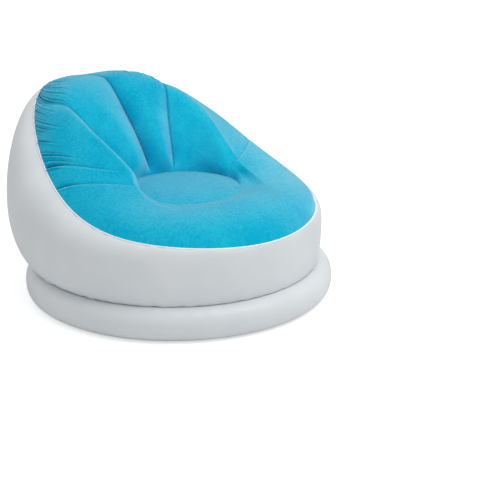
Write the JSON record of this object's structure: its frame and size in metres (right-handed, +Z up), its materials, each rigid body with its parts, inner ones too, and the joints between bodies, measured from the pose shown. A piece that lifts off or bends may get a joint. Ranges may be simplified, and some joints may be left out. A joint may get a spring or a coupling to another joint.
{
  "type": "inflatable lounge chair",
  "caption": "Inflatable lounge chair: a flocked bucket seat with puffed back channels in a smooth round shell on a ring base, with plug valves at the rear.",
  "frame": {"origin": "on the floor, under the middle of the overall box", "axes": "+Z up; the chair faces -Y, its back is towards +Y, and its width runs along X, so +X is the sitter's left"},
  "size_m": [1.0158, 1.1109, 0.6496],
  "materials": {
    "flocked_blue": "short velvety flock on vinyl, bright turquoise blue",
    "white_vinyl": "satin white vinyl film",
    "web_film": "plain translucent vinyl film inside the chambers",
    "valve_vinyl": "moulded soft white vinyl"
  },
  "bodies": {
    "chair": {"arm_web_left": "web_film", "arm_web_right": "web_film", "back_panel": "flocked_blue", "back_web_centre": "web_film", "back_web_left": "web_film", "back_web_right": "web_film", "base_valve_collar": "valve_vinyl", "base_wall": "white_vinyl", "base_web": "web_film", "body_valve_collar": "valve_vinyl", "floor_sheet": "white_vinyl", "front_panel": "flocked_blue", "outer_wall": "white_vinyl", "partition_sheet": "web_film", "seat_panel": "flocked_blue", "seat_web": "web_film"},
    "body_valve_stopper": {"body_valve_stopper": "valve_vinyl"},
    "body_valve_cap": {"body_valve_cap": "valve_vinyl"},
    "body_valve_flap": {"body_valve_flap": "web_film"},
    "base_valve_stopper": {"base_valve_stopper": "valve_vinyl"},
    "base_valve_cap": {"base_valve_cap": "valve_vinyl"},
    "base_valve_flap": {"base_valve_flap": "web_film"}
  },
  "joints": [
    {"name": "body_valve_stopper_hinge", "type": "hinge", "parent": "chair", "child": "body_valve_stopper", "pos_m": [0.12111, 0.52157, 0.22589], "axis": [0.0937, 0.3152, 0.9444], "range_deg": [0, 150]},
    {"name": "body_valve_cap_hinge", "type": "hinge", "parent": "body_valve_stopper", "child": "body_valve_cap", "pos_m": [0.14379, 0.52064, 0.23613], "axis": [0.9585, -0.2851, 0], "range_deg": [0, 150]},
    {"name": "body_valve_flap_hinge", "type": "hinge", "parent": "body_valve_stopper", "child": "body_valve_flap", "pos_m": [0.13432, 0.50808, 0.22908], "axis": [-0.0937, -0.3152, -0.9444], "range_deg": [0, 60]},
    {"name": "base_valve_stopper_hinge", "type": "hinge", "parent": "chair", "child": "base_valve_stopper", "pos_m": [-0.11572, 0.45004, 0.05133], "axis": [0, 0, 1], "range_deg": [0, 150]},
    {"name": "base_valve_cap_hinge", "type": "hinge", "parent": "base_valve_stopper", "child": "base_valve_cap", "pos_m": [-0.09445, 0.45596, 0.06283], "axis": [0.9829, 0.1844, 0], "range_deg": [0, 150]},
    {"name": "base_valve_flap_hinge", "type": "hinge", "parent": "base_valve_stopper", "child": "base_valve_flap", "pos_m": [-0.09771, 0.44355, 0.05133], "axis": [0, 0, -1], "range_deg": [0, 60]}
  ]
}
